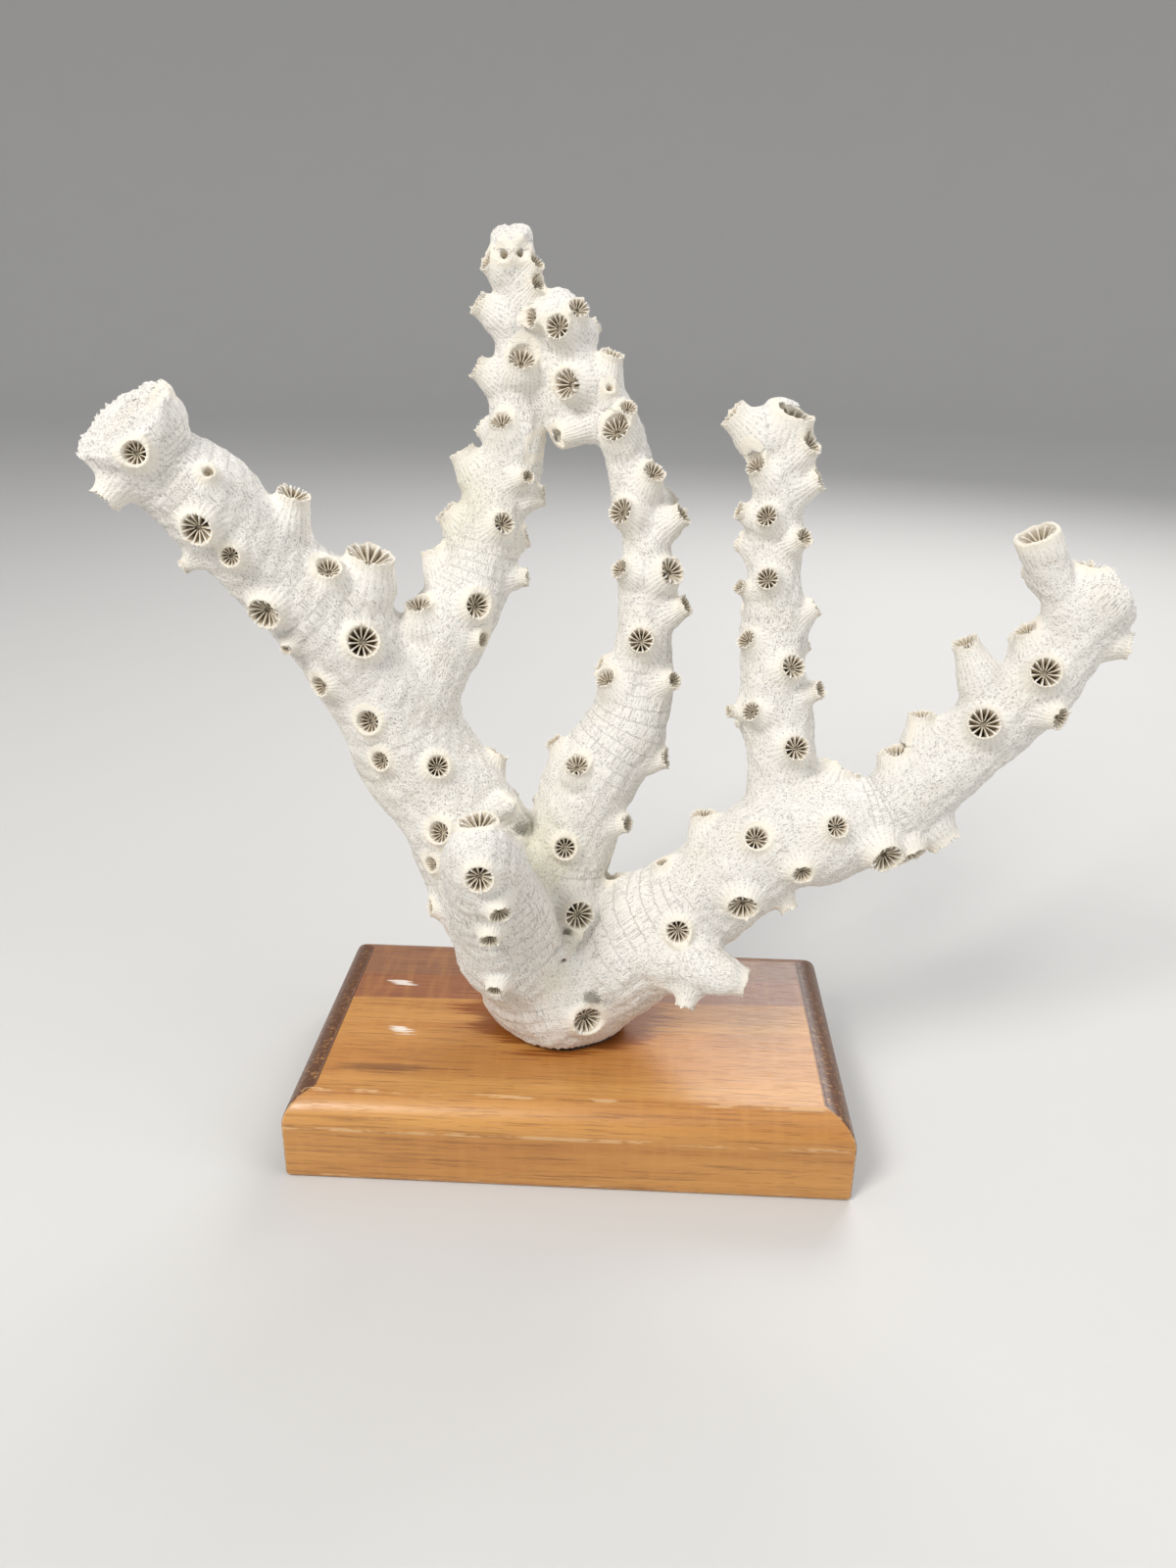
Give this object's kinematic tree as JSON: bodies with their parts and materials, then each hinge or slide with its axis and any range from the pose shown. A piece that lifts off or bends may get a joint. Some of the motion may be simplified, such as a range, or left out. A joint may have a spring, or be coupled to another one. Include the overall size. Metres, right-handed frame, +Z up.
{
  "type": "branching coral on stand",
  "caption": "white branching stony coral with cup-shaped corallites, glued by its sawn foot to a rectangular hardwood block with rounded-over top edges",
  "frame": {"origin": "centre of the flat underside of the wooden block", "axes": "+Z is up, square to the underside; +X runs along the block's length, towards the coral's long curved right arm; -Y is the front, where the coral's short leaning knob is"},
  "size_m": [0.2451, 0.0939, 0.2343],
  "materials": {
    "coral": "dry chalky calcium skeleton, finely ribbed, with tan-grey hollows",
    "wood": "varnished satin, worn pale on the arrises",
    "glue": "dark set adhesive, slightly glossy"
  },
  "bodies": {
    "root": {"wood_block": "wood", "glue_bed": "glue", "trunk": "coral", "left_limb": "coral", "left_arm": "coral", "right_limb": "coral", "crown_branch": "coral", "middle_branch": "coral", "crown_bridge": "coral", "right_upright": "coral", "right_arm": "coral", "right_finger": "coral", "front_knob": "coral", "lower_spur": "coral"}
  },
  "joints": []
}
